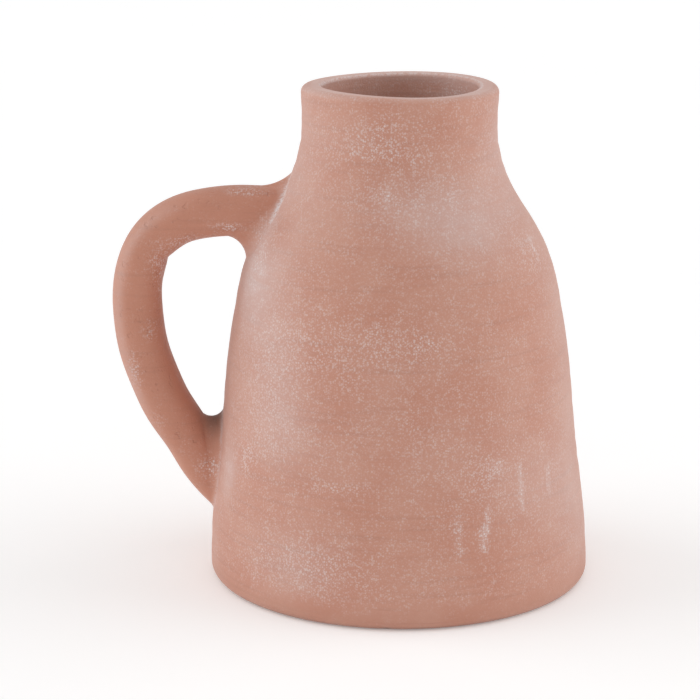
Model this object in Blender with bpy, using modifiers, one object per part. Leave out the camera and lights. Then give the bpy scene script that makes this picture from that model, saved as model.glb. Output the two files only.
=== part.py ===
"""A terracotta pitcher: a wheel-thrown body with one looped handle luted to its wall.

The frame has its origin at the centre of the flat underside, +Z up, with the handle
towards -X. Lengths are in metres.
"""

import math

import bmesh
import bpy
import numpy as np

# Driving dimensions
HEIGHT = 0.230
GAP = 0.0003
WALL = 0.0070
LIP_WALL = 0.0092
FLOOR = 0.0090
FOOT_ROUNDING = 0.0050
LIP_ROUNDING = 0.0025
FLOOR_ROUNDING = 0.0160

# Outer wall from the foot to the lip: (height, radius)
WALL_STATIONS = (
    (0.0050, 0.0886),
    (0.0207, 0.0880),
    (0.0414, 0.0859),
    (0.0690, 0.0825),
    (0.1035, 0.0791),
    (0.1334, 0.0742),
    (0.1518, 0.0694),
    (0.1679, 0.0613),
    (0.1817, 0.0526),
    (0.1955, 0.0469),
    (0.2070, 0.0446),
    (0.2185, 0.0445),
    (0.2275, 0.0448),
)
# The wall thickens towards the lip between these two heights
THICKENS_FROM = 0.150
THICKENS_TO = 0.210

# Handle centreline from the shoulder round to the foot: (x, height, half thickness)
HANDLE_STATIONS = (
    (-0.0440, 0.1698, 0.0122),
    (-0.0646, 0.1714, 0.0118),
    (-0.0828, 0.1715, 0.0113),
    (-0.0993, 0.1682, 0.0110),
    (-0.1150, 0.1565, 0.0109),
    (-0.1212, 0.1360, 0.0112),
    (-0.1205, 0.1157, 0.0114),
    (-0.1159, 0.0973, 0.0115),
    (-0.1084, 0.0800, 0.0113),
    (-0.0992, 0.0648, 0.0109),
    (-0.0859, 0.0429, 0.0106),
    (-0.0734, 0.0304, 0.0104),
)
# The handle is a little wider than it is thick
HANDLE_WIDTH_RATIO = 1.15

# Radii of the clay fillets round the handle's two roots, outside and inside its loop
UPPER_JOIN_OUTSIDE = 0.0120
UPPER_JOIN_INSIDE = 0.0065
LOWER_JOIN_OUTSIDE = 0.0075
LOWER_JOIN_INSIDE = 0.0060
# How far a join's hidden side reaches behind the wall's surface
JOIN_DEPTH = 0.0040

# Facets
TURNS = 56
WALL_POINTS = 22
ROUNDING_POINTS = 4
HANDLE_POINTS = 34
HANDLE_BEVEL = 8
JOIN_SIDES = 32
JOIN_ARC = 6
MERGE = 0.00001
# How finely the handle and the wall are read while a fillet is fitted between them
COURSE_READINGS = 400
WALL_READINGS = 3000
HALVINGS = 40

# Unglazed fired clay, a little darker on the handle and whitened in the joins
CLAY_ROUGHNESS = 0.85
CLAY = (0.56, 0.27, 0.19)
HANDLE_CLAY = (0.52, 0.23, 0.15)
JOIN_CLAY = (0.60, 0.33, 0.25)


def smooth_curve(knots, values, places):
    """Natural cubic spline through values at knots, read at places."""
    knots = np.asarray(knots, float)
    values = np.asarray(values, float)
    span = np.diff(knots)
    count = len(knots)
    system = np.eye(count)
    bend = np.zeros(count)
    for i in range(1, count - 1):
        system[i, i - 1 : i + 2] = span[i - 1], 2 * (span[i - 1] + span[i]), span[i]
        rise = (values[i + 1] - values[i]) / span[i]
        bend[i] = 6 * (rise - (values[i] - values[i - 1]) / span[i - 1])
    second = np.linalg.solve(system, bend)
    at = np.clip(np.searchsorted(knots, places) - 1, 0, count - 2)
    before = (np.asarray(places) - knots[at]) / span[at]
    after = 1 - before
    curl = (after**3 - after) * second[at] + (before**3 - before) * second[at + 1]
    return after * values[at] + before * values[at + 1] + curl * span[at] ** 2 / 6


def outer_wall(count):
    """Points (radius, height) up the outer wall and the outward normal at each."""
    heights = np.array([s[0] for s in WALL_STATIONS])
    radii = np.array([s[1] for s in WALL_STATIONS])
    z = np.linspace(heights[0], heights[-1], count)
    r = smooth_curve(heights, radii, z)
    slope = np.gradient(r, z)
    length = np.sqrt(1 + slope**2)
    return np.stack([r, z], 1), np.stack([1 / length, -slope / length], 1)


def arc(centre, radius, start, end, count):
    """Points round a circle from one angle to another, both in degrees."""
    turn = np.radians(np.linspace(start, end, count))
    return [(centre[0] + radius * math.cos(a), centre[1] + radius * math.sin(a)) for a in turn]


def body_profile():
    """Half section from the centre of the floor, over the lip, to the centre of the foot."""
    wall, normal = outer_wall(WALL_POINTS)
    part_way = (wall[:, 1] - THICKENS_FROM) / (THICKENS_TO - THICKENS_FROM)
    rise = np.clip(part_way, 0, 1)
    thickness = WALL + (LIP_WALL - WALL) * rise**2 * (3 - 2 * rise)
    inner = wall - normal * thickness[:, None]
    floor_turn = FLOOR + FLOOR_ROUNDING
    inner = inner[inner[:, 1] > floor_turn]
    lip_outer = wall[-1][0]
    lip_inner = lip_outer - LIP_WALL
    lip_height = HEIGHT - LIP_ROUNDING
    inner = inner[inner[:, 1] < lip_height - LIP_ROUNDING]
    floor_centre = (inner[0][0] - FLOOR_ROUNDING, floor_turn)
    foot_centre = (wall[0][0] - FOOT_ROUNDING, FOOT_ROUNDING)
    points = [(0, FLOOR)]
    points += arc(floor_centre, FLOOR_ROUNDING, -90, -10, ROUNDING_POINTS)
    points += [tuple(p) for p in inner]
    points += arc((lip_inner + LIP_ROUNDING, lip_height), LIP_ROUNDING, 180, 90, ROUNDING_POINTS)
    points += arc((lip_outer - LIP_ROUNDING, lip_height), LIP_ROUNDING, 90, 0, ROUNDING_POINTS)
    points += [tuple(p) for p in wall[-2:0:-1]]
    points += arc(foot_centre, FOOT_ROUNDING, 0, -90, ROUNDING_POINTS)
    points.append((0, 0))
    return points


def turned(name, profile, collection):
    """A solid of revolution about Z from (radius, height) points."""
    mesh = bpy.data.meshes.new(name)
    edges = [(i, i + 1) for i in range(len(profile) - 1)]
    mesh.from_pydata([(r, 0, z) for r, z in profile], edges, [])
    turned_object = bpy.data.objects.new(name, mesh)
    collection.objects.link(turned_object)
    screw = turned_object.modifiers.new("turn", "SCREW")
    screw.axis = "Z"
    screw.steps = TURNS
    screw.render_steps = TURNS
    screw.use_merge_vertices = True
    screw.merge_threshold = MERGE
    screw.use_smooth_shade = True
    return turned_object


def handle_course(count):
    """Centreline (x, height) of the handle and its half thickness at each point."""
    stations = np.array(HANDLE_STATIONS)
    steps = np.hypot(*np.diff(stations[:, :2], axis=0).T)
    along = np.concatenate([[0], np.cumsum(steps)])
    places = np.linspace(0, along[-1], count)
    return np.stack([smooth_curve(along, stations[:, i], places) for i in range(3)], 1)


def handle_tube(name, grow, collection):
    """The handle as a bevelled curve, turned into a mesh with an oval section."""
    course = handle_course(HANDLE_POINTS)
    curve = bpy.data.curves.new(name, "CURVE")
    curve.dimensions = "3D"
    curve.bevel_depth = 1.0
    curve.bevel_resolution = HANDLE_BEVEL
    curve.use_fill_caps = True
    spline = curve.splines.new("POLY")
    spline.points.add(len(course) - 1)
    for point, (x, z, half) in zip(spline.points, course):
        point.co = (x, 0, z, 1)
        point.radius = half + grow
    drawn = bpy.data.objects.new(name + "_curve", curve)
    collection.objects.link(drawn)
    read = drawn.evaluated_get(bpy.context.evaluated_depsgraph_get())
    mesh = bpy.data.meshes.new_from_object(read)
    mesh.name = name
    shape = bmesh.new()
    shape.from_mesh(mesh)
    bmesh.ops.remove_doubles(shape, verts=shape.verts, dist=MERGE)
    for vertex in shape.verts:
        vertex.co.y *= HANDLE_WIDTH_RATIO
    shape.to_mesh(mesh)
    shape.free()
    tube = bpy.data.objects.new(name, mesh)
    tube.matrix_world = drawn.matrix_world
    collection.objects.link(tube)
    bpy.data.objects.remove(drawn)
    return tube


def wall_distance(point, wall):
    """Distance from a point to the outer wall, and the nearest point on it."""
    radius = math.hypot(point[0], point[1])
    away = np.hypot(wall[:, 0] - radius, wall[:, 1] - point[2])
    nearest = wall[np.argmin(away)]
    side = math.copysign(1, radius - np.interp(point[2], wall[:, 1], wall[:, 0]))
    foot = (point[0] / radius * nearest[0], point[1] / radius * nearest[0], nearest[1])
    return side * away.min(), np.array(foot)


def handle_skin(course, index, turn):
    """Centre, surface point and outward normal of the handle, by place and angle.

    The angle is 0 on the outside of the loop and half a turn on its inside.
    """
    places = range(len(course))
    x, z, half = (np.interp(index, places, course[:, i]) for i in range(3))
    ahead = np.gradient(course[:, :2], axis=0)
    along = np.array([np.interp(index, places, ahead[:, i]) for i in range(2)])
    along /= np.hypot(*along)
    outward = np.array([along[1], 0, -along[0]])
    across = np.array([0, 1.0, 0])
    wide = half * HANDLE_WIDTH_RATIO
    centre = np.array([x, 0, z])
    skin = centre + outward * half * math.cos(turn) + across * wide * math.sin(turn)
    normal = outward * math.cos(turn) / half + across * math.sin(turn) / wide
    return centre, skin, normal / np.linalg.norm(normal)


def fillet_strip(course, wall, turn, radius, root):
    """Points from inside the handle, over the fillet, to inside the wall.

    The fillet is the arc that a ball of this radius touches handle and wall with.
    """
    free = len(course) / 2
    for _ in range(HALVINGS):
        index = (free + root) / 2
        _, skin, normal = handle_skin(course, index, turn)
        ball = skin + normal * radius
        clear, foot = wall_distance(ball, wall)
        if clear > radius:
            free = index
        else:
            root = index
    to_skin = (skin - ball) / radius
    to_wall = (foot - ball) / np.linalg.norm(foot - ball)
    opening = math.acos(np.clip(to_skin @ to_wall, -1, 1))
    centre, _, _ = handle_skin(course, index, turn)
    strip = [(centre + skin) / 2]
    for share in np.linspace(0, 1, JOIN_ARC + 1):
        blend = to_skin * math.sin((1 - share) * opening) + to_wall * math.sin(share * opening)
        strip.append(ball + blend / math.sin(opening) * radius)
    return strip


def join_plug(name, outside, inside, root, collection):
    """The clay round one root of the handle, before handle and wall are taken out."""
    course = handle_course(COURSE_READINGS)
    wall, _ = outer_wall(WALL_READINGS)
    strips = []
    for side in range(JOIN_SIDES):
        turn = 2 * math.pi * side / JOIN_SIDES
        radius = inside + (outside - inside) * (1 + math.cos(turn)) / 2
        strips.append(fillet_strip(course, wall, turn, radius, root))
    strips = np.array(strips)
    buried = (strips[:, -1] + strips[:, -1].mean(axis=0)) / 2
    buried[:, :2] *= 1 - JOIN_DEPTH / np.hypot(buried[:, 0], buried[:, 1])[:, None]
    strips = np.concatenate([strips, buried[:, None]], axis=1)
    mesh = bpy.data.meshes.new(name)
    shape = bmesh.new()
    rows = [[shape.verts.new(point) for point in strip] for strip in strips]
    near = shape.verts.new(strips[:, 0].mean(axis=0))
    far = shape.verts.new(strips[:, -1].mean(axis=0))
    for here, there in zip(rows, rows[1:] + rows[:1]):
        shape.faces.new((near, here[0], there[0]))
        for i in range(len(here) - 1):
            shape.faces.new((here[i], here[i + 1], there[i + 1], there[i]))
        shape.faces.new((here[-1], far, there[-1]))
    bmesh.ops.recalc_face_normals(shape, faces=shape.faces)
    shape.to_mesh(mesh)
    shape.free()
    plug = bpy.data.objects.new(name, mesh)
    collection.objects.link(plug)
    return plug


def cut(piece, cutter):
    """Take the cutter's shape out of the piece."""
    boolean = piece.modifiers.new("clear_of_" + cutter.name, "BOOLEAN")
    boolean.operation = "DIFFERENCE"
    boolean.solver = "EXACT"
    boolean.object = cutter


def as_cutter(piece):
    piece.hide_render = True
    piece.display_type = "WIRE"
    return piece


def clay(piece, name, colour):
    """Unglazed fired clay: matte, with no metal in it."""
    material = bpy.data.materials.new(name)
    material.use_nodes = True
    shader = material.node_tree.nodes["Principled BSDF"]
    shader.inputs["Base Color"].default_value = (*colour, 1)
    shader.inputs["Roughness"].default_value = CLAY_ROUGHNESS
    shader.inputs["Metallic"].default_value = 0.0
    piece.data.materials.append(material)


def wall_cutter(collection):
    """The body's outside grown by the gap and filled solid."""
    wall, normal = outer_wall(WALL_POINTS)
    grown = wall + normal * GAP
    profile = [(0, HEIGHT)]
    profile += [tuple(p) for p in grown[::-1]]
    profile += [(grown[0][0], 0), (0, 0)]
    return as_cutter(turned("wall_cutter", profile, collection))


def main():
    for old in list(bpy.data.objects):
        bpy.data.objects.remove(old)
    parts = bpy.data.collections.new("ceramic_pitcher")
    cutters = bpy.data.collections.new("cutters")
    bpy.context.scene.collection.children.link(parts)
    bpy.context.scene.collection.children.link(cutters)

    body = turned("body", body_profile(), parts)
    clay(body, "body_clay", CLAY)
    wall = wall_cutter(cutters)
    tube = as_cutter(handle_tube("handle_cutter", GAP, cutters))

    handle = handle_tube("handle", 0, parts)
    handle.data.shade_smooth()
    clay(handle, "handle_clay", HANDLE_CLAY)
    cut(handle, wall)

    last = COURSE_READINGS - 1
    upper = join_plug("upper_handle_join", UPPER_JOIN_OUTSIDE, UPPER_JOIN_INSIDE, 0, parts)
    lower = join_plug("lower_handle_join", LOWER_JOIN_OUTSIDE, LOWER_JOIN_INSIDE, last, parts)
    for join in (upper, lower):
        clay(join, join.name + "_clay", JOIN_CLAY)
        cut(join, wall)
        cut(join, tube)


main()
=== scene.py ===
"""The looks of a whitewashed terracotta pitcher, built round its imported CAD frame.

Lengths are in metres. The azimuth of a place on the body is 0 at the front (-Y) and
grows towards +X; the handle is at -90 degrees.
"""

import math

import bmesh
import bpy
import numpy as np
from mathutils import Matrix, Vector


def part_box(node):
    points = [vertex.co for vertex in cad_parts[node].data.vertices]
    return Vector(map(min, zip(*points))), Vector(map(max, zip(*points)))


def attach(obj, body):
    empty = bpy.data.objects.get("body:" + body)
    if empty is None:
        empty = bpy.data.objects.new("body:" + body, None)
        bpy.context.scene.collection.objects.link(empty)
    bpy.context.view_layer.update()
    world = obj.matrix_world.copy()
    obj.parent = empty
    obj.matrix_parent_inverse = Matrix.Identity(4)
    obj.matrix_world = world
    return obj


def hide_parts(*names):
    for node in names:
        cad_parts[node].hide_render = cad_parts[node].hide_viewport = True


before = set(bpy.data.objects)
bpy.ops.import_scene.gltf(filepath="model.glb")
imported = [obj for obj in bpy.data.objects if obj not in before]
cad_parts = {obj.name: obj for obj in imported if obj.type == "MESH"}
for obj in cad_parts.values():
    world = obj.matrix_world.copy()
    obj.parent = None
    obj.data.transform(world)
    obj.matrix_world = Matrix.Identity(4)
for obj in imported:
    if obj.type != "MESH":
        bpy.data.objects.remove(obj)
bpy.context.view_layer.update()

# ---------------------------------------------------------------------------
# Driving dimensions, drawn at this height and scaled to the frame's body
# ---------------------------------------------------------------------------
DRAWN_HEIGHT = 0.230
BODY_LOW, BODY_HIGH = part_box("body")
HEIGHT = BODY_HIGH[2] - BODY_LOW[2]
SCALE = HEIGHT / DRAWN_HEIGHT

WALL = 0.0070
LIP_WALL = 0.0092
FLOOR = 0.0090
FOOT_ROUNDING = 0.0050
LIP_ROUNDING_OUTSIDE = 0.0032
LIP_ROUNDING_INSIDE = 0.0018
FLOOR_ROUNDING = 0.0160
THICKENS_FROM = 0.150
THICKENS_TO = 0.210

# Outer wall from the foot to the lip: (height, radius)
WALL_STATIONS = (
    (0.0050, 0.0886),
    (0.0207, 0.0880),
    (0.0414, 0.0859),
    (0.0690, 0.0825),
    (0.1035, 0.0791),
    (0.1334, 0.0742),
    (0.1518, 0.0694),
    (0.1679, 0.0613),
    (0.1817, 0.0526),
    (0.1955, 0.0469),
    (0.2070, 0.0446),
    (0.2185, 0.0445),
    (0.2268, 0.0448),
)

# Handle centreline from the shoulder round to the foot: (x, height, half thickness)
HANDLE_STATIONS = (
    (-0.0440, 0.1698, 0.0122),
    (-0.0646, 0.1714, 0.0118),
    (-0.0828, 0.1715, 0.0113),
    (-0.0993, 0.1682, 0.0110),
    (-0.1150, 0.1565, 0.0109),
    (-0.1212, 0.1360, 0.0112),
    (-0.1205, 0.1157, 0.0114),
    (-0.1159, 0.0973, 0.0115),
    (-0.1084, 0.0800, 0.0113),
    (-0.0992, 0.0648, 0.0109),
    (-0.0859, 0.0429, 0.0106),
    (-0.0734, 0.0304, 0.0104),
)
HANDLE_WIDTH_RATIO = 1.15
# The handle's section lies between an oval, 2, and a rounded rectangle
HANDLE_SQUARENESS = 2.3
# How deep the handle's ends and the joins' hidden sides sit in the wall
ROOT_DEPTH = 0.0030

# Clay worked round the roots of the handle. The angle is 0 outside the loop, 180 inside
# it and 270 at the front; then come the fillet's radius and how far its ball presses
# into the wall and into the handle, as shares of that radius. A press leaves a crease.
UPPER_ROOT = (
    (0, 0.0235, 0.140, 0.004),
    (28, 0.0215, 0.120, 0.004),
    (65, 0.0165, 0.100, 0.004),
    (110, 0.0110, 0.060, 0.006),
    (145, 0.0095, 0.030, 0.010),
    (180, 0.0110, 0.055, 0.050),
    (235, 0.0100, 0.006, 0.010),
    (270, 0.0075, 0.060, 0.004),
    (310, 0.0080, 0.230, 0.004),
    (332, 0.0115, 0.230, 0.004),
    (346, 0.0175, 0.200, 0.004),
)
LOWER_ROOT = (
    (0, 0.0045, 0.060, 0.006),
    (90, 0.0065, 0.020, 0.006),
    (180, 0.0063, 0.055, 0.050),
    (270, 0.0058, 0.060, 0.006),
)

# The thrown body is a little out of true: its axis leans, its lip dips and is warped
LEAN = -0.0030
LEAN_BACK = 0.0027
LIP_DIP = 0.0005
LIP_DIP_AZIMUTH = 25
LIP_WARP = 0.00035
# Gentle unevenness of the hand-made wall: depth, and height over which it changes
UNEVENNESS = 0.00030
UNEVENNESS_REACH = 0.05
# A small nick in the edge of the foot: azimuth, half width in radians, height and depth
NICK_AZIMUTH = -4.6
NICK_WIDTH = 0.018
NICK_HEIGHT = 0.0030
NICK_DEPTH = 0.0007
# The underside is slightly hollow, with the arcs of the wire that cut it from the wheel
HOLLOW_DEPTH = 0.0005
HOLLOW_RADIUS = 0.078
WIRE_DEPTH = 0.00018
WIRE_PITCH = 0.0036
WIRE_CENTRE = 0.11
# The floor inside has the spiral of the potter's finger
SPIRAL_RADIUS = 0.066
SPIRAL_PITCH = 0.0022
SPIRAL_DEPTH = 0.0004

# The handle is pinched on its inside at this share of its length, with swells beside it,
# and tapers on its outside towards its lower root
PINCH_AT = 0.351
PINCH_DEPTH = 0.00060
PINCH_LENGTH = 0.016
SWELL_HEIGHT = 0.00025
SWELL_LENGTH = 0.025
SWELL_AWAY = 0.05
TAPER_DEPTH = 0.0009

# The camera's place, its downward tilt in degrees and its lens in mm
CAMERA_PLACE = (-0.02314, -1.100, 0.3902)
CAMERA_TILT = 14.499
CAMERA_LENS = 125.6
SKY_BRIGHTNESS = 0.495

# Mesh fineness
BODY_TURNS = 288
HANDLE_TURNS = 96
HANDLE_STEPS = 240
JOIN_TURNS = 180
JOIN_ARC = 24
COURSE_POINTS = 800
FINE_WALL_POINTS = 4000
PAINT_WALL_POINTS = 400
HALVINGS = 40


# ---------------------------------------------------------------------------
# Curves and noise
# ---------------------------------------------------------------------------
def smooth_curve(knots, values, places):
    """Natural cubic spline through values at knots, read at places."""
    knots = np.asarray(knots, float)
    values = np.asarray(values, float)
    span = np.diff(knots)
    count = len(knots)
    system = np.eye(count)
    bend = np.zeros(count)
    for i in range(1, count - 1):
        system[i, i - 1 : i + 2] = span[i - 1], 2 * (span[i - 1] + span[i]), span[i]
        rise = (values[i + 1] - values[i]) / span[i]
        bend[i] = 6 * (rise - (values[i] - values[i - 1]) / span[i - 1])
    second = np.linalg.solve(system, bend)
    at = np.clip(np.searchsorted(knots, places) - 1, 0, count - 2)
    before = (np.asarray(places) - knots[at]) / span[at]
    after = 1 - before
    curl = (after**3 - after) * second[at] + (before**3 - before) * second[at + 1]
    return after * values[at] + before * values[at + 1] + curl * span[at] ** 2 / 6


def smooth_step(low, high, value):
    share = np.clip((value - low) / (high - low), 0, 1)
    return share * share * (3 - 2 * share)


def arc(centre, radius, start, end, count):
    """Points round a circle from one angle to another, both in degrees."""
    turn = np.radians(np.linspace(start, end, count))
    return np.stack([centre[0] + radius * np.cos(turn), centre[1] + radius * np.sin(turn)], 1)


def outer_wall(count):
    """Points (radius, height) up the outer wall and the outward normal at each."""
    heights = np.array([s[0] for s in WALL_STATIONS]) * SCALE
    radii = np.array([s[1] for s in WALL_STATIONS]) * SCALE
    z = np.linspace(heights[0], heights[-1], count)
    r = smooth_curve(heights, radii, z)
    slope = np.gradient(r, z)
    length = np.sqrt(1 + slope**2)
    return np.stack([r, z], 1), np.stack([1 / length, -slope / length], 1)


def throwing_rings(seed, lowest, highest, spacing, depth):
    """Ridges that the potter's fingers left: (height, width, depth, lean, phase) each."""
    draw = np.random.default_rng(seed)
    rings = []
    z = lowest
    while z < highest:
        width = spacing * draw.uniform(0.18, 0.42)
        lean = draw.uniform(0.0002, 0.0011)
        height = depth * draw.uniform(-1.0, 0.55)
        rings.append((z, width, height, lean, draw.uniform(0, 2 * math.pi)))
        z += spacing * draw.uniform(0.55, 1.5)
    return rings


def ring_relief(rings, azimuth, z):
    """Height of the rings above the plain wall."""
    relief = np.zeros_like(z)
    for height, width, depth, lean, phase in rings:
        away = (z - height - lean * np.sin(azimuth + phase)) / width
        fade = 0.65 + 0.35 * np.sin(azimuth * 2 + phase * 3)
        relief += depth * fade * np.exp(-away * away)
    return relief


def slow_waves(seed, azimuth, z, reach):
    """Gentle unevenness of a hand-made wall, continuous round the axis, about -1 to 1."""
    draw = np.random.default_rng(seed)
    total = np.zeros_like(z)
    for _ in range(7):
        lobes = draw.integers(1, 5)
        total += draw.uniform(0.3, 1) * np.sin(
            lobes * azimuth + draw.uniform(0, 2 * math.pi) + z / reach * draw.uniform(-1.5, 1.5)
        )
    return total / 3.5


OUTSIDE_RINGS = throwing_rings(11, 0.012, 0.224, 0.0085, 0.00028)
INSIDE_RINGS = throwing_rings(23, 0.020, 0.226, 0.0120, 0.00060)


def outside_relief(azimuth, z):
    """How far the real outer wall stands out of its plain profile."""
    ends = smooth_step(0, 0.006 * SCALE, z) * smooth_step(HEIGHT, HEIGHT - 0.008 * SCALE, z)
    rings = ends * ring_relief(OUTSIDE_RINGS, azimuth, z)
    return rings + unevenness(azimuth, z)


def unevenness(azimuth, z):
    waves = slow_waves(5, azimuth, z, UNEVENNESS_REACH)
    return UNEVENNESS * SCALE * waves * smooth_step(0, 0.01, z)


def lean(z):
    """Sideways drift of the body's axis along X at a height."""
    share = z / HEIGHT
    return SCALE * (LEAN * share + LEAN_BACK * share * share)


# ---------------------------------------------------------------------------
# The body
# ---------------------------------------------------------------------------
def body_section():
    """Half section as (radius, height, outside weight, inside weight) rows, foot first."""
    wall, normal = outer_wall(156)
    rise = smooth_step(THICKENS_FROM * SCALE, THICKENS_TO * SCALE, wall[:, 1])
    thickness = SCALE * (WALL + (LIP_WALL - WALL) * rise)
    inner = wall - normal * thickness[:, None]
    floor_turn = SCALE * (FLOOR + FLOOR_ROUNDING)
    outer_round = SCALE * LIP_ROUNDING_OUTSIDE
    inner_round = SCALE * LIP_ROUNDING_INSIDE
    below_lip = HEIGHT - outer_round - inner_round
    inner = inner[(inner[:, 1] > floor_turn) & (inner[:, 1] < below_lip)][::2]
    lip_outer = wall[-1][0]
    lip_inner = lip_outer - SCALE * LIP_WALL
    outer_centre = (lip_outer - outer_round, HEIGHT - outer_round)
    inner_centre = (lip_inner + inner_round, HEIGHT - inner_round)
    floor_centre = (inner[0][0] - SCALE * FLOOR_ROUNDING, floor_turn)
    foot_round = SCALE * FOOT_ROUNDING
    foot_centre = (wall[0][0] - foot_round, foot_round)
    under = [(r, 0) for r in np.linspace(0, foot_centre[0], 26)[1:-1]]
    top = [(r, HEIGHT) for r in np.linspace(outer_centre[0], inner_centre[0], 6)[1:-1]]
    floor = [(r, SCALE * FLOOR) for r in np.linspace(floor_centre[0], 0, 22)[1:-1]]
    pieces = [
        (under, 0, 0),
        (arc(foot_centre, foot_round, -90, 0, 12)[:-1], 0, 0),
        (wall[:-1], 1, 0),
        (arc(outer_centre, outer_round, 0, 90, 10), 0, 0),
        (top, 0, 0),
        (arc(inner_centre, inner_round, 90, 180, 8), 0, 0),
        (inner[::-1], 0, 1),
        (arc(floor_centre, SCALE * FLOOR_ROUNDING, -5, -90, 12), 0, 0),
        (floor, 0, 0),
    ]
    rows = [(r, z, out, into) for points, out, into in pieces for r, z in points]
    return np.array(rows)


def wire_marks(radius, azimuth):
    """Shell-like arcs that the cut-off wire leaves on the underside."""
    x = radius * np.sin(azimuth) - WIRE_CENTRE * SCALE
    y = -radius * np.cos(azimuth) * 0.8
    away = np.hypot(x, y)
    return 0.5 + 0.5 * np.sin(away / (WIRE_PITCH * SCALE) + 1.4 * np.sin(azimuth * 3))


def underside(radius, azimuth):
    """Heights over the underside."""
    hollow = (1 - (radius / (HOLLOW_RADIUS * SCALE)) ** 2).clip(0, 1)
    fade = smooth_step(0.080, 0.070, radius / SCALE)
    return SCALE * (HOLLOW_DEPTH * hollow + WIRE_DEPTH * wire_marks(radius, azimuth) * fade)


def lip_sag(azimuth, z):
    """How far the lip sinks at its dip and by its warp, fading down the neck."""
    lip = smooth_step(0.195 * SCALE, HEIGHT, z)
    dip = np.exp((np.cos(azimuth - math.radians(LIP_DIP_AZIMUTH)) - 1) * 3)
    return SCALE * lip * (LIP_DIP * dip + LIP_WARP * np.sin(2 * azimuth))


def foot_nick(azimuth, z):
    """How far the foot's edge is lifted by its nick."""
    across = (azimuth - math.radians(NICK_AZIMUTH % 360)) / NICK_WIDTH
    up = z / (NICK_HEIGHT * SCALE)
    return NICK_DEPTH * SCALE * np.exp(-(across**2 + up**2))


def build_body():
    section = body_section()
    radius, z, outside, inside = (section[:, i][:, None] for i in range(4))
    azimuth = np.linspace(0, 2 * math.pi, BODY_TURNS, endpoint=False)[None, :]
    radius, z, outside, inside, azimuth = np.broadcast_arrays(radius, z, outside, inside, azimuth)
    push = outside * outside_relief(azimuth, z) + (1 - outside) * unevenness(azimuth, z)
    push = push + inside * ring_relief(INSIDE_RINGS, azimuth, z)
    grown = radius + push
    height = z - lip_sag(azimuth, z) + foot_nick(azimuth, z)
    height = np.where(z < 0.0001, underside(radius, azimuth), height)
    floor_spot = (z < (FLOOR + 0.0005) * SCALE) & (z > 0.0001) & (radius < SPIRAL_RADIUS * SCALE)
    spiral = np.sin(radius / (SPIRAL_PITCH * SCALE) - azimuth)
    height = np.where(floor_spot, z + SPIRAL_DEPTH * SCALE * (spiral + 1), height)
    x = grown * np.sin(azimuth) + lean(height)
    y = -grown * np.cos(azimuth)
    grid = np.stack([x, y, height], -1)
    return grid_mesh("body_vessel", grid, (0, 0, 0.0006), (0, 0, FLOOR * SCALE))


def grid_mesh(name, grid, first_tip, last_tip):
    """A closed mesh from rings of points, capped by a fan at each end."""
    rings, turns, _ = grid.shape
    points = np.concatenate([grid.reshape(-1, 3), [first_tip], [last_tip]])
    here = np.arange(rings * turns).reshape(rings, turns)
    there = np.roll(here, -1, axis=1)
    quads = np.stack([here[:-1], there[:-1], there[1:], here[1:]], -1).reshape(-1, 4)
    first = rings * turns
    last = first + 1
    fans = [(first, b, a) for a, b in zip(here[0], there[0])]
    fans += [(last, a, b) for a, b in zip(here[-1], there[-1])]
    mesh = bpy.data.meshes.new(name)
    mesh.from_pydata(points.tolist(), [], quads.tolist() + fans)
    return finished(name, mesh)


def finished(name, mesh):
    shape = bmesh.new()
    shape.from_mesh(mesh)
    bmesh.ops.recalc_face_normals(shape, faces=shape.faces)
    shape.to_mesh(mesh)
    shape.free()
    mesh.shade_smooth()
    piece = bpy.data.objects.new(name, mesh)
    bpy.context.scene.collection.objects.link(piece)
    return piece


# ---------------------------------------------------------------------------
# The handle
# ---------------------------------------------------------------------------
def handle_course(count):
    """Centreline (x, height) of the handle and its half thickness at each point."""
    stations = np.array(HANDLE_STATIONS) * SCALE
    steps = np.hypot(*np.diff(stations[:, :2], axis=0).T)
    along = np.concatenate([[0], np.cumsum(steps)])
    places = np.linspace(0, along[-1], count)
    return np.stack([smooth_curve(along, stations[:, i], places) for i in range(3)], 1)


COURSE = handle_course(COURSE_POINTS)
COURSE_AHEAD = np.gradient(COURSE[:, :2], axis=0)


def handle_skin(index, turn):
    """Centre, surface point and outward normal of the handle, by place and angle.

    The angle is 0 on the outside of the loop and half a turn on its inside.
    """
    places = np.arange(len(COURSE))
    x, z, half = (np.interp(index, places, COURSE[:, i]) for i in range(3))
    along = np.stack([np.interp(index, places, COURSE_AHEAD[:, i]) for i in range(2)], -1)
    along = along / np.linalg.norm(along, axis=-1, keepdims=True)
    zero = np.zeros_like(x)
    centre = np.stack([x, zero, z], -1)
    outward = np.stack([along[..., 1], zero, -along[..., 0]], -1)
    across = np.array([0, 1.0, 0])
    wave = handle_relief(index / len(COURSE), turn)
    tall = (half + wave)[..., None]
    wide = (half * HANDLE_WIDTH_RATIO + wave)[..., None]
    cos = np.cos(turn)[..., None]
    sin = np.sin(turn)[..., None]
    power = HANDLE_SQUARENESS
    reach = (np.abs(cos) ** power + np.abs(sin) ** power) ** (-1 / power)
    skin = centre + reach * (outward * tall * cos + across * wide * sin)
    lean_out = np.sign(cos) * np.abs(reach * cos) ** (power - 1) / tall
    lean_side = np.sign(sin) * np.abs(reach * sin) ** (power - 1) / wide
    normal = outward * lean_out + across * lean_side
    return centre, skin, normal / np.linalg.norm(normal, axis=-1, keepdims=True)


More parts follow.
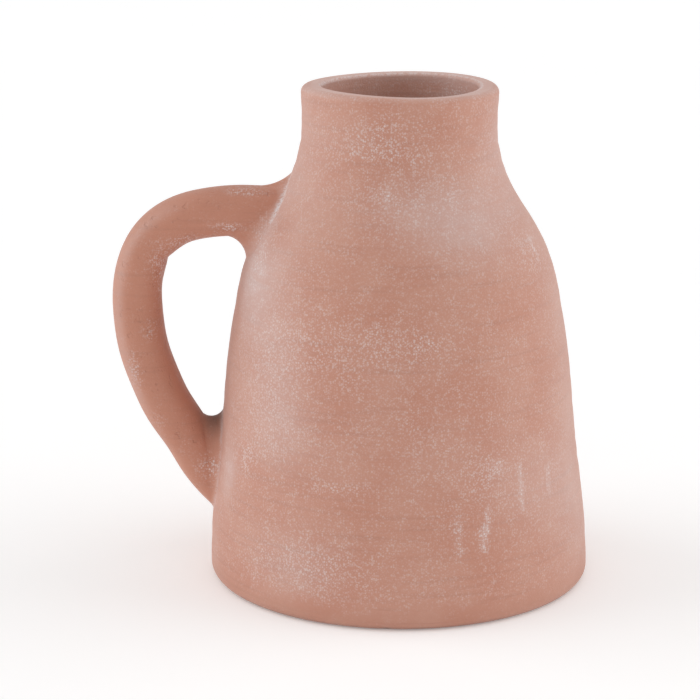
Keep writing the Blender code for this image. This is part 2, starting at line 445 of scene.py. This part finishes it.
def handle_relief(share, turn):
    """Finger-made unevenness of the rolled handle, and the pinch inside its bend."""
    uneven = 0.00016 * np.sin(share * 21 + 1.0) * np.cos(turn * 2 + share * 5)
    uneven = uneven + 0.00012 * np.sin(share * 47 + turn * 3)
    inside = smooth_step(0.2, 1.0, -np.cos(turn))
    pinch = -PINCH_DEPTH * np.exp(-(((share - PINCH_AT) / PINCH_LENGTH) ** 2))
    for away in (SWELL_AWAY, -SWELL_AWAY):
        pinch = pinch + SWELL_HEIGHT * np.exp(-(((share - PINCH_AT - away) / SWELL_LENGTH) ** 2))
    outside = smooth_step(-0.2, 1.0, np.cos(turn))
    taper = -TAPER_DEPTH * smooth_step(0.84, 0.97, share) * outside
    return SCALE * (uneven + pinch * inside + taper)


def wall_distance(point, wall):
    """Distance from a point to the real outer wall, and the nearest point on it."""
    x = point[0] - lean(point[2])
    radius = math.hypot(x, point[1])
    away = np.hypot(wall[:, 0] - radius, wall[:, 1] - point[2])
    nearest = wall[np.argmin(away)]
    side = math.copysign(1, radius - np.interp(point[2], wall[:, 1], wall[:, 0]))
    azimuth = math.atan2(x, -point[1])
    relief = float(outside_relief(np.array([azimuth]), nearest[1:2])[0])
    share = (nearest[0] + relief) / radius
    foot = np.array([x * share + lean(nearest[1]), point[1] * share, nearest[1]])
    return side * away.min() - relief, foot


def root_index(turn, root, depth, wall):
    """Where the handle's skin at this angle lies this deep in the wall."""
    free = len(COURSE) / 2
    for _ in range(HALVINGS):
        index = (free + root) / 2
        _, skin, _ = handle_skin(np.array(index), np.array(turn))
        clear, _ = wall_distance(skin, wall)
        if clear > -depth:
            free = index
        else:
            root = index
    return free


def build_handle(wall):
    turns = np.linspace(0, 2 * math.pi, HANDLE_TURNS, endpoint=False)
    depth = SCALE * ROOT_DEPTH
    first = np.array([root_index(turn, 0, depth, wall) for turn in turns])
    last = np.array([root_index(turn, len(COURSE) - 1, depth, wall) for turn in turns])
    share = np.linspace(0, 1, HANDLE_STEPS)[:, None]
    index = first + (last - first) * share
    turn = np.broadcast_to(turns, index.shape)
    _, skin, _ = handle_skin(index, turn)
    return grid_mesh("handle_loop", skin, skin[0].mean(axis=0), skin[-1].mean(axis=0))


# ---------------------------------------------------------------------------
# The fillets of luting clay round the handle's roots
# ---------------------------------------------------------------------------
def round_table(table, degrees):
    """Read a table of values by angle, smoothly and round the turn."""
    angles = np.array([row[0] for row in table] + [360.0])
    rows = np.array([row[1:] for row in table] + [table[0][1:]])
    at = np.searchsorted(angles, degrees, side="right") - 1
    at = min(at, len(angles) - 2)
    share = (degrees - angles[at]) / (angles[at + 1] - angles[at])
    share = share * share * (3 - 2 * share)
    return rows[at] * (1 - share) + rows[at + 1] * share


def fillet_strip(wall, turn, radius, wall_press, handle_press, root):
    """Points over the fillet from inside the handle to inside the wall, and its wall crease.

    The fillet is the arc left by a ball that rolls along handle and wall.
    """
    free = len(COURSE) / 2
    turns = np.array(turn)
    for _ in range(HALVINGS):
        index = (free + root) / 2
        _, skin, normal = handle_skin(np.array(index), turns)
        ball = skin + normal * radius * (1 - handle_press)
        clear, foot = wall_distance(ball, wall)
        if clear > radius * (1 - wall_press):
            free = index
        else:
            root = index
    to_skin = (skin - ball) / np.linalg.norm(skin - ball)
    down = (foot - ball) / np.linalg.norm(foot - ball)
    opening = math.acos(np.clip(to_skin @ down, -1, 1))

    def at(angle):
        blend = to_skin * math.sin(opening - angle) + down * math.sin(angle)
        return ball + blend / math.sin(opening) * radius

    strip = [at(angle) for angle in np.linspace(0, opening, JOIN_ARC + 1)]
    return strip, at(opening - math.acos(1 - wall_press))


def build_join(name, table, root, wall):
    """The clay round one root of the handle, closed inside the handle and the wall."""
    strips = []
    creases = []
    for side in range(JOIN_TURNS):
        degrees = 360 * side / JOIN_TURNS
        radius, wall_press, handle_press = round_table(table, degrees)
        radius = SCALE * radius
        turn = math.radians(degrees)
        strip, crease = fillet_strip(wall, turn, radius, wall_press, handle_press, root)
        strips.append(strip)
        creases.append(crease)
    grid = np.array(strips).transpose(1, 0, 2)
    start = (grid[0] * 2 + grid[0].mean(axis=0)) / 3
    end = (grid[-1] * 2 + grid[-1].mean(axis=0)) / 3
    end[:, :2] *= 1 - SCALE * ROOT_DEPTH / np.hypot(end[:, 0], end[:, 1])[:, None]
    grid = np.concatenate([start[None], grid, end[None]])
    piece = grid_mesh(name, grid, grid[0].mean(axis=0), grid[-1].mean(axis=0))
    return piece, np.array(creases)


# ---------------------------------------------------------------------------
# Materials
# ---------------------------------------------------------------------------
class Nodes:
    """A short way to write a material's node tree."""

    def __init__(self, name):
        self.material = bpy.data.materials.new(name)
        self.material.use_nodes = True
        self.tree = self.material.node_tree
        self.shader = self.tree.nodes["Principled BSDF"]
        where = self.tree.nodes.new("ShaderNodeTexCoord")
        self.place = where.outputs["Object"]

    def put(self, socket, value):
        if isinstance(value, bpy.types.NodeSocket):
            self.tree.links.new(value, socket)
        else:
            socket.default_value = value

    def maths(self, operation, a, b=0.0, clamp=False):
        node = self.tree.nodes.new("ShaderNodeMath")
        node.operation = operation
        node.use_clamp = clamp
        self.put(node.inputs[0], a)
        self.put(node.inputs[1], b)
        return node.outputs[0]

    def times(self, a, b):
        return self.maths("MULTIPLY", a, b)

    def plus(self, a, b):
        return self.maths("ADD", a, b)

    def most(self, a, b):
        return self.maths("MAXIMUM", a, b)

    def stretched(self, across, up):
        """Object coordinates with one scale across and another up the axis."""
        node = self.tree.nodes.new("ShaderNodeMapping")
        self.put(node.inputs["Vector"], self.place)
        node.inputs["Scale"].default_value = (across, across, up)
        return node.outputs[0]

    def noise(self, size, detail=2.0, roughness=0.5, vector=None):
        """Noise with features of this size in metres, or in the vector's own units."""
        node = self.tree.nodes.new("ShaderNodeTexNoise")
        self.put(node.inputs["Vector"], vector or self.place)
        node.inputs["Scale"].default_value = 1.0 / size
        node.inputs["Detail"].default_value = detail
        node.inputs["Roughness"].default_value = roughness
        return node.outputs["Fac"]

    def specks(self, size):
        """Cells of this size: distance to the cell's point, and the cell's random value."""
        node = self.tree.nodes.new("ShaderNodeTexVoronoi")
        self.put(node.inputs["Vector"], self.place)
        node.inputs["Scale"].default_value = 1.0 / size
        split = self.tree.nodes.new("ShaderNodeSeparateColor")
        self.tree.links.new(node.outputs["Color"], split.inputs[0])
        return node.outputs["Distance"], split.outputs[0]

    def between(self, value, low, high, floor=0.0, top=1.0):
        node = self.tree.nodes.new("ShaderNodeMapRange")
        node.interpolation_type = "SMOOTHSTEP"
        self.put(node.inputs["Value"], value)
        self.put(node.inputs["From Min"], low)
        self.put(node.inputs["From Max"], high)
        self.put(node.inputs["To Min"], floor)
        self.put(node.inputs["To Max"], top)
        return node.outputs["Result"]

    def mix(self, share, a, b):
        node = self.tree.nodes.new("ShaderNodeMix")
        node.data_type = "RGBA"
        self.put(node.inputs["Factor"], share)
        colours = [i for i in node.inputs if i.type == "RGBA"]
        for socket, colour in zip(colours, (a, b)):
            self.put(socket, (*colour, 1) if isinstance(colour, tuple) else colour)
        return next(o for o in node.outputs if o.type == "RGBA")

    def painted(self, name):
        node = self.tree.nodes.new("ShaderNodeAttribute")
        node.attribute_name = name
        return node.outputs["Fac"]

    def bump(self, height, distance, normal=None):
        node = self.tree.nodes.new("ShaderNodeBump")
        node.inputs["Strength"].default_value = 1.0
        node.inputs["Distance"].default_value = distance
        self.put(node.inputs["Height"], height)
        if normal is not None:
            self.put(node.inputs["Normal"], normal)
        return node.outputs["Normal"]


CLAY = (0.560, 0.256, 0.178)
CLAY_RED = (0.560, 0.240, 0.157)
CLAY_LIGHT = (0.600, 0.310, 0.230)
CLAY_DARK = (0.400, 0.170, 0.115)
WASH = (0.780, 0.715, 0.712)
# Colour of the painted shade in the crook of the lower join, and of the darker clay towards the
# foot
SHADE_AND_DARK_FOOT_CLAY = (0.170, 0.085, 0.058)
# Sizes of the features in the clay and in the whitewash
GRAIN_SIZE = 0.00078
DOT_SIZE = 0.00095
SPOT_SIZE = 0.0016
COARSE_SIZE = 0.0019
PIT_SIZE = 0.0042
CLUMP_SIZE = 0.0060
CLOUD_SIZE = 0.024
# Features per metre of the lines left by turning: round the body and up it
LINES_ROUND = 22
LINES_UP = 420
# Depth of the lines and of the grain in the surface
LINE_DEPTH = 0.00016
GRAIN_DEPTH = 0.00012
MOST_WHITE = 0.92


def terracotta(name, freshness, pits):
    """Matte terracotta under a thin, worn whitewash that clings to its grain.

    Freshness takes away the clay's cloudiness and makes it redder.
    A haze attribute gives how milky the clay is, with painted highlights of the side lights in
    it; wash how thick the speckle is, crease where white has collected in a corner or on an edge,
    and a fourth where the clay is painted darker: painted shade in the crook of the lower join,
    and darker clay towards the foot.
    """
    n = Nodes(name)
    haze_and_highlight = n.painted("haze_and_highlight")
    wash = n.painted("wash")
    crease = n.painted("crease")
    grain = n.noise(GRAIN_SIZE, 1.0, 0.6)
    coarse = n.noise(COARSE_SIZE, 2.0, 0.6)
    streaks = n.noise(1.0, 3.0, 0.6, n.stretched(LINES_ROUND, LINES_UP))
    clumps = n.noise(CLUMP_SIZE, 3.0, 0.6)
    clouds = n.noise(CLOUD_SIZE, 3.0, 0.55)

    clay = n.mix(freshness, CLAY, CLAY_RED)
    clay = n.mix(n.between(clouds, 0.35, 0.65, 0.0, 0.7 * (1.0 - freshness)), clay, CLAY_LIGHT)
    lines = n.times(n.between(streaks, 0.50, 0.72), 0.22)
    worn = n.plus(lines, n.times(n.between(coarse, 0.55, 0.80), 0.14))
    clay = n.mix(worn, clay, CLAY_DARK)

    # A milky veil from the haze attribute, which also holds painted highlights of the side lights
    veil_and_highlight = n.times(n.between(haze_and_highlight, 0.0, 1.0), n.between(clumps, 0.2, 0.8, 0.42, 0.50))
    veil_and_highlight = n.times(veil_and_highlight, n.between(streaks, 0.3, 0.7, 0.84, 1.14))
    density = n.plus(wash, n.between(clumps, 0.36, 0.70, 0.0, 0.30))
    near, chance = n.specks(DOT_SIZE)
    level = n.maths("SUBTRACT", 0.66, n.times(density, 0.20))
    dust = n.between(n.maths("SUBTRACT", chance, level), 0.0, 0.12)
    dust = n.times(dust, n.between(near, 0.66, 0.26))
    worms = n.times(n.between(grain, 0.52, 0.64), 0.55)
    dust = n.times(n.most(dust, worms), n.between(density, -0.5, 1.2, 0.0, 0.66))
    distance, lot = n.specks(SPOT_SIZE)
    spot = n.times(n.between(distance, 0.40, 0.20), n.between(lot, 0.88, 0.92))
    spot = n.times(spot, n.between(density, 0.0, 1.0, 0.06, 0.90))
    caught = n.times(crease, n.between(n.plus(grain, coarse), 0.75, 1.15, 0.25, 1.0))
    # Painted shade in the crook of the lower join, and darker clay towards the foot
    clay = n.mix(n.painted("painted_shade_and_dark_foot"), clay, SHADE_AND_DARK_FOOT_CLAY)
    white = n.plus(n.most(dust, spot), veil_and_highlight)
    white = n.most(white, n.times(caught, 0.90))
    white = n.maths("MINIMUM", white, MOST_WHITE)
    n.put(n.shader.inputs["Base Color"], n.mix(white, clay, WASH))

    n.put(n.shader.inputs["Roughness"], n.between(clumps, 0.3, 0.7, 0.56, 0.72))
    n.shader.inputs["Specular IOR Level"].default_value = 0.5
    n.shader.inputs["Sheen Weight"].default_value = 0.16
    n.shader.inputs["Sheen Roughness"].default_value = 0.45
    normal = n.bump(streaks, LINE_DEPTH)
    normal = n.bump(grain, GRAIN_DEPTH, normal)
    if pits:
        hollow = n.between(n.noise(PIT_SIZE, 2.0, 0.6), 0.60, 0.75)
        normal = n.bump(n.maths("SUBTRACT", 1.0, hollow), pits, normal)
    n.put(n.shader.inputs["Normal"], normal)
    return n.material


def paper(name, colour):
    n = Nodes(name)
    patch = n.between(n.noise(0.6, 2.0, 0.5), 0.3, 0.7)
    n.put(n.shader.inputs["Base Color"], n.mix(patch, colour, tuple(c * 0.99 for c in colour)))
    n.shader.inputs["Roughness"].default_value = 0.95
    n.shader.inputs["Emission Color"].default_value = (1, 1, 1, 1)
    n.shader.inputs["Emission Strength"].default_value = 0.19
    return n.material


# ---------------------------------------------------------------------------
# Where the whitewash lies, in drawn metres
# ---------------------------------------------------------------------------
# Broad milky haze on the body, with painted highlights of the left and right softboxes among it:
# (azimuth, height, half width, half height, strength), with the azimuth in degrees
HAZE_AND_HIGHLIGHT_PATCHES = (
    (-66, 0.205, 0.022, 0.040, 0.28),
    (-78, 0.158, 0.030, 0.026, 0.45),
    (-52, 0.130, 0.024, 0.040, 0.34),
    (-72, 0.070, 0.024, 0.040, 0.28),
    (-20, 0.212, 0.026, 0.010, 0.10),
    (6, 0.182, 0.032, 0.018, 0.30),
    (32, 0.172, 0.026, 0.018, 0.42),
    (0, 0.124, 0.042, 0.018, 0.10),
    (-28, 0.080, 0.030, 0.022, 0.14),
    (18, 0.085, 0.034, 0.024, 0.10),
    (72, 0.200, 0.024, 0.036, 0.35),
    (72, 0.120, 0.026, 0.060, 0.26),
    (66, 0.045, 0.030, 0.036, 0.32),
    (40, 0.058, 0.026, 0.024, 0.22),
    (-33, 0.026, 0.032, 0.022, 0.36),
    (-68, 0.056, 0.008, 0.011, 0.34),
    (-42, 0.092, 0.018, 0.030, 0.30),
    (-66, 0.140, 0.014, 0.020, 0.26),
    (-63, 0.168, 0.010, 0.012, -0.30),
)
# Denser speckle: (azimuth, height, half width, half height, strength)
SPECKLE_PATCHES = (
    (-12, 0.213, 0.018, 0.009, 0.50),
    (-20, 0.206, 0.016, 0.004, 0.34),
    (-3, 0.205, 0.014, 0.003, 0.26),
    (-68, 0.155, 0.006, 0.010, 0.55),
    (-57.5, 0.066, 0.004, 0.006, 0.60),
    (4, 0.188, 0.026, 0.010, 0.30),
    (0, 0.128, 0.022, 0.009, 0.42),
    (-32, 0.124, 0.030, 0.016, 0.28),
    (-50, 0.092, 0.020, 0.030, 0.30),
    (-21, 0.063, 0.016, 0.0022, 0.45),
    (-28, 0.026, 0.030, 0.013, 0.40),
    (12, 0.092, 0.040, 0.022, 0.12),
    (25, 0.064, 0.016, 0.012, 0.30),
    (62, 0.160, 0.010, 0.010, 0.30),
)
# Drips and streaks: (azimuth, top height, foot height, half width, strength)
WASH_DRIPS = (
    (26.4, 0.0520, 0.0430, 0.0012, 0.85),
    (24.6, 0.0440, 0.0360, 0.0020, 0.90),
    (16.6, 0.0500, 0.0345, 0.0024, 0.55),
    (39.5, 0.0680, 0.0500, 0.0013, 0.60),
    (53.0, 0.0640, 0.0540, 0.0014, 0.45),
    (-7.6, 0.1910, 0.1840, 0.0008, 0.50),
    (-48.2, 0.0240, 0.0120, 0.0012, 0.35),
    (30.0, 0.0720, 0.0690, 0.0040, 0.45),
    (66.0, 0.1640, 0.1560, 0.0012, 0.50),
    (4.0, 0.0900, 0.0600, 0.0016, 0.20),
    (-14.0, 0.1100, 0.0850, 0.0018, 0.18),
)
# Speckle on the handle: (x, height, half length, half height, strength)
HANDLE_PATCHES = (
    (-0.0710, 0.1818, 0.0090, 0.0014, 1.20),
    (-0.0790, 0.1665, 0.0070, 0.0024, 1.20),
    (-0.0960, 0.1590, 0.0130, 0.0036, 0.95),
    (-0.1090, 0.1490, 0.0070, 0.0070, 1.05),
    (-0.1090, 0.1370, 0.0035, 0.0070, 0.90),
    (-0.1150, 0.1180, 0.0040, 0.0050, 0.70),
    (-0.1220, 0.1000, 0.0035, 0.0100, 0.85),
    (-0.1120, 0.0750, 0.0035, 0.0060, 0.50),
    (-0.1000, 0.0630, 0.0030, 0.0050, 0.40),
    (-0.0880, 0.0525, 0.0065, 0.0055, 1.30),
    (-0.0620, 0.1600, 0.0050, 0.0100, 0.80),
)
# The lip's top is painted lighter than the wall below
LIP_TOP_LIGHTER = 0.24
# The lip's inner edge is painted white: its radius and strength
LIP_EDGE = 0.0366
LIP_EDGE_WHITE = 0.75
# The handle's outside has a painted highlight band; the handle holds less speckle than the body
HANDLE_HIGHLIGHT_BAND = 0.32
HANDLE_BARENESS = 0.36
# Heights between which the handle sheltered the wall behind it
SHELTER = (0.062, 0.150)
# White mottle inside the back of the mouth: (x, height, half width, half height)
MOUTH_MOTTLE = (0.025, 0.223, 0.010, 0.006)
# Heights over which the whitewash fades out above the foot
FOOT_BARE = (0.003, 0.016)
# Widths of the white in the creases of the joins
UPPER_CREASE = 0.0018
LOWER_CREASE = 0.0016
# Painted shade in the crook between handle and wall: its place and reach
WEB_PAINTED_SHADE = (-0.0850, 0.0, 0.0710, 0.0085)


def scattered(count, seed, strongest):
    """Patches for the back of the body, where they fall as they may."""
    draw = np.random.default_rng(seed)
    lows = (85, 0.02, 0.012, 0.006, 0.15)
    highs = (265, 0.215, 0.035, 0.030, strongest)
    return tuple(tuple(draw.uniform(lows, highs)) for _ in range(count))


def scattered_drips(count, seed):
    """Drips for the back of the body."""
    draw = np.random.default_rng(seed)
    found = []
    for _ in range(count):
        top = draw.uniform(0.04, 0.16)
        foot = top - draw.uniform(0.006, 0.020)
        azimuth = draw.uniform(85, 265)
        width = draw.uniform(0.001, 0.0025)
        found.append((azimuth, top, foot, width, draw.uniform(0.3, 0.8)))
    return tuple(found)


def corners_of(piece):
    """The piece's vertices in drawn metres."""
    flat = np.empty(len(piece.data.vertices) * 3, np.float32)
    piece.data.vertices.foreach_get("co", flat)
    return flat.reshape(-1, 3) / SCALE


def spread(points, patches):
    """Sum of soft patches over the body by azimuth and height."""
    x, y, z = points.T
    azimuth = np.degrees(np.arctan2(x, -y))
    radius = np.hypot(x, y)
    total = np.zeros(len(points))
    for middle, height, wide, tall, strength in patches:
        turn = (azimuth - middle + 180) % 360 - 180
        across = np.radians(turn) * radius / wide
        up = (z - height) / tall
        total += strength * np.exp(-(across**2) - up**2)
    return total


def dripped(points, drips):
    """Sum of streaks that run down the body."""
    x, y, z = points.T
    azimuth = np.degrees(np.arctan2(x, -y))
    radius = np.hypot(x, y)
    total = np.zeros(len(points))
    for middle, top, foot, wide, strength in drips:
        turn = (azimuth - middle + 180) % 360 - 180
        across = np.radians(turn) * radius / wide
        past = np.maximum(0, np.maximum(z - top, foot - z)) / 0.0020
        total += strength * np.exp(-(across**2) - past**2)
    return total


def sheltered(points):
    """1 where the handle kept the spray off the wall behind it, 0 elsewhere."""
    x, y, z = points.T
    turn = (np.degrees(np.arctan2(x, -y)) + 94) / 17
    low, high = SHELTER
    tall = smooth_step(low - 0.02, low + 0.02, z) * smooth_step(high + 0.02, high - 0.02, z)
    return np.exp(-(turn**4)) * tall


def body_paint(points):
    """Haze with its painted highlight bands, speckle and edge white over the body."""
    x, y, z = points.T
    radius = np.hypot(x, y)
    open_to_spray = 1 - 0.85 * sheltered(points)
    # Milky haze, with painted highlight bands from the side lights
    haze_and_highlight = spread(points, HAZE_AND_HIGHLIGHT_PATCHES + scattered(16, 77, 0.5)) * open_to_spray
    streaks = dripped(points, WASH_DRIPS + scattered_drips(12, 5))
    wash = spread(points, SPECKLE_PATCHES + scattered(14, 41, 0.8)) * open_to_spray
    wash = wash - 0.5 * (1 - open_to_spray) + streaks
    haze_and_highlight = haze_and_highlight + 0.45 * streaks
    on_top = smooth_step(0.2272, 0.2288, z)
    inside = on_the_inside(radius, z)
    place, height, wide, tall = MOUTH_MOTTLE
    mottle = np.exp(-(((x - place) / wide) ** 2) - ((z - height) / tall) ** 2) * (y > 0)
    haze_and_highlight = np.where(inside, 0.28 + 0.2 * mottle, haze_and_highlight) + LIP_TOP_LIGHTER * on_top
    wash = np.where(inside, 0.4 * mottle - 0.1, wash)
    above_foot = 1 - 0.8 * smooth_step(FOOT_BARE[1], FOOT_BARE[0], z)
    haze_and_highlight = haze_and_highlight * above_foot
    wash = wash - 0.55 * (1 - above_foot)
    inner_edge = LIP_EDGE_WHITE * np.exp(-(((radius - LIP_EDGE) / 0.0012) ** 2)) * on_top
    return haze_and_highlight, wash, inner_edge


def wall_radius(z):
    """Radius of the plain outer wall at these heights, in drawn metres."""
    wall, _ = outer_wall(PAINT_WALL_POINTS)
    return np.interp(z, wall[:, 1] / SCALE, wall[:, 0] / SCALE)


def on_the_inside(radius, z):
    """True on the inside of the vessel."""
    return (radius < wall_radius(z) - WALL / 2) & (z > FLOOR / 2)


def handle_paint(points):
    """Speckle over the handle by its place in the handle's plane."""
    x, _, z = points.T
    wash = np.zeros(len(points))
    for place, height, long, tall, strength in HANDLE_PATCHES:
        wash += strength * np.exp(-(((x - place) / long) ** 2) - ((z - height) / tall) ** 2)
    return wash - HANDLE_BARENESS


def handle_haze_and_highlight(points):
    """A faint haze over the handle, with a painted highlight band along its outside."""
    middle = COURSE[::4] / SCALE
    ahead = COURSE_AHEAD[::4] / np.linalg.norm(COURSE_AHEAD[::4], axis=1)[:, None]
    apart = points[:, None, [0, 2]] - middle[None, :, :2]
    nearest = np.argmin((apart**2).sum(axis=2), axis=1)
    chosen = apart[np.arange(len(points)), nearest]
    outward = chosen[:, 0] * ahead[nearest, 1] - chosen[:, 1] * ahead[nearest, 0]
    outward = outward / middle[nearest, 2]
    share = nearest / len(middle)
    ends = smooth_step(0.20, 0.32, share) * smooth_step(0.85, 0.60, share)
    return 0.04 + ends * HANDLE_HIGHLIGHT_BAND * np.exp(-(((outward - 0.70) / 0.28) ** 2))


def crease_white(points, creases, strengths, width):
    """White that has collected along a line of creases."""
    white = np.zeros(len(points))
    middle = creases.mean(axis=0) / SCALE
    near = np.flatnonzero(np.linalg.norm(points - middle, axis=1) < 0.035)
    points = points[near]
    found = np.zeros(len(near))
    for place, strength in zip(creases, strengths):
        if strength < 0.02:
            continue
        away = np.linalg.norm(points - place / SCALE, axis=1) / width
        found = np.maximum(found, strength * np.exp(-(away**2)))
    white[near] = found
    return white


def painted_shade_and_dark_foot(points):
    """Painted shade in the crook of the lower join, and clay darker towards the foot."""
    web = np.linalg.norm((points - WEB_PAINTED_SHADE[:3]) / WEB_PAINTED_SHADE[3], axis=1)
    z = points[:, 2]
    # Clay darker towards the foot's outer edge
    foot = 0.80 * np.exp(-((z / 0.0016) ** 2)) + 0.24 * np.exp(-((z / 0.0090) ** 2))
    foot = foot * (np.hypot(points[:, 0], points[:, 1]) > 0.08)
    return np.exp(-(web**2)) + foot


def wall_clearance(points):
    """Roughly how far points stand off the outer wall."""
    return np.hypot(points[:, 0], points[:, 1]) - wall_radius(points[:, 2])


def by_angle(table):
    """Strengths round a join from a table of (degrees, strength)."""
    angles = [row[0] for row in table]
    values = [row[1] for row in table]
    return np.interp(np.linspace(0, 360, JOIN_TURNS, endpoint=False), angles, values, period=360)


def store(piece, name, values):
    """Keep a value for each vertex, for the piece's material to read."""
    attribute = piece.data.attributes.new(name, "FLOAT", "POINT")
    attribute.data.foreach_set("value", np.clip(values, -1, 1.5).astype(np.float32))


# ---------------------------------------------------------------------------
# Build the pieces
# ---------------------------------------------------------------------------
fine_wall, _ = outer_wall(FINE_WALL_POINTS)
body = build_body()
handle = build_handle(fine_wall)
upper, upper_creases = build_join("upper_join_fillet", UPPER_ROOT, 0, fine_wall)
lower, lower_creases = build_join("lower_join_fillet", LOWER_ROOT, len(COURSE) - 1, fine_wall)
upper_white = by_angle(((0, 0.5), (60, 0.4), (180, 0.35), (250, 0.30), (285, 1.0), (350, 1.0)))
lower_white = by_angle(((0, 0.5), (90, 0.3), (180, 0.5), (230, 0.5), (290, 0.35), (340, 0.6)))


def paint(piece):
    """Store the whitewash with its painted highlights, and the painted shade and darker foot, of
    one piece on its vertices.
    """
    corners = corners_of(piece)
    haze_and_highlight, wash, edge_white = body_paint(corners)
    # Painted shade in the crook of the lower join, and darker clay towards the foot; the body
    # takes half of it
    shade_and_dark_foot = painted_shade_and_dark_foot(corners)
    if piece is body:
        shade_and_dark_foot = 0.5 * shade_and_dark_foot
    elif piece is handle:
        haze_and_highlight, wash = handle_haze_and_highlight(corners), handle_paint(corners)
    else:
        near_wall = smooth_step(0.009, 0.0, wall_clearance(corners))
        haze_and_highlight = 0.04 + 0.85 * near_wall * haze_and_highlight
        wash = near_wall * wash + handle_paint(corners)
    upper_crease = crease_white(corners, upper_creases, upper_white, UPPER_CREASE)
    lower_crease = crease_white(corners, lower_creases, lower_white, LOWER_CREASE)
    store(piece, "haze_and_highlight", haze_and_highlight)
    store(piece, "wash", wash)
    store(piece, "crease", np.maximum(np.maximum(upper_crease, lower_crease), edge_white))
    store(piece, "painted_shade_and_dark_foot", shade_and_dark_foot)


for piece, node, slot, freshness, pits in (
    (body, "body", "body_clay", 0.0, 0),
    (handle, "handle", "handle_clay", 0.9, 0.00035),
    (upper, "upper_handle_join", "join_clay", 0.8, 0.00020),
    (lower, "lower_handle_join", "join_clay", 0.8, 0.00020),
):
    paint(piece)
    piece.data.materials.append(terracotta(piece.name + "_terracotta", freshness, pits))
    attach(piece, "root")
    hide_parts(node)


# ---------------------------------------------------------------------------
# Floor, light and camera
# ---------------------------------------------------------------------------
def build_floor():
    mesh = bpy.data.meshes.new("studio_floor")
    shape = bmesh.new()
    bmesh.ops.create_grid(shape, x_segments=8, y_segments=8, size=8.0)
    shape.to_mesh(mesh)
    shape.free()
    floor = bpy.data.objects.new("studio_floor", mesh)
    floor.location = (0, 0, BODY_LOW[2])
    bpy.context.scene.collection.objects.link(floor)
    mesh.materials.append(paper("studio_paper", (0.93, 0.93, 0.93)))


def soft_sun(name, azimuth, elevation, spread, power):
    """A very large soft light that shines from this direction on the whole scene."""
    light = bpy.data.lights.new(name, "SUN")
    light.energy = power
    light.angle = math.radians(spread)
    lamp = bpy.data.objects.new(name, light)
    lamp.rotation_euler = (math.radians(90 - elevation), 0, math.radians(azimuth))
    bpy.context.scene.collection.objects.link(lamp)


def build_camera():
    data = bpy.data.cameras.new("camera")
    data.sensor_width = 36.0
    data.lens = CAMERA_LENS
    data.clip_start = 0.05
    data.clip_end = 50.0
    camera = bpy.data.objects.new("camera", data)
    camera.location = [SCALE * along for along in CAMERA_PLACE]
    camera.rotation_euler = (math.radians(90 - CAMERA_TILT), 0, 0)
    bpy.context.scene.collection.objects.link(camera)
    bpy.context.scene.camera = camera


build_floor()
soft_sun("left_softbox", -95, 22, 60, 1.08)
soft_sun("right_softbox", 95, 22, 60, 0.98)
soft_sun("top_softbox", 0, 80, 80, 0.45)
world = bpy.data.worlds.new("studio")
world.use_nodes = True
world.node_tree.nodes["Background"].inputs["Color"].default_value = (1, 1, 1, 1)
world.node_tree.nodes["Background"].inputs["Strength"].default_value = SKY_BRIGHTNESS
bpy.context.scene.world = world
bpy.context.scene.view_settings.view_transform = "Standard"
build_camera()
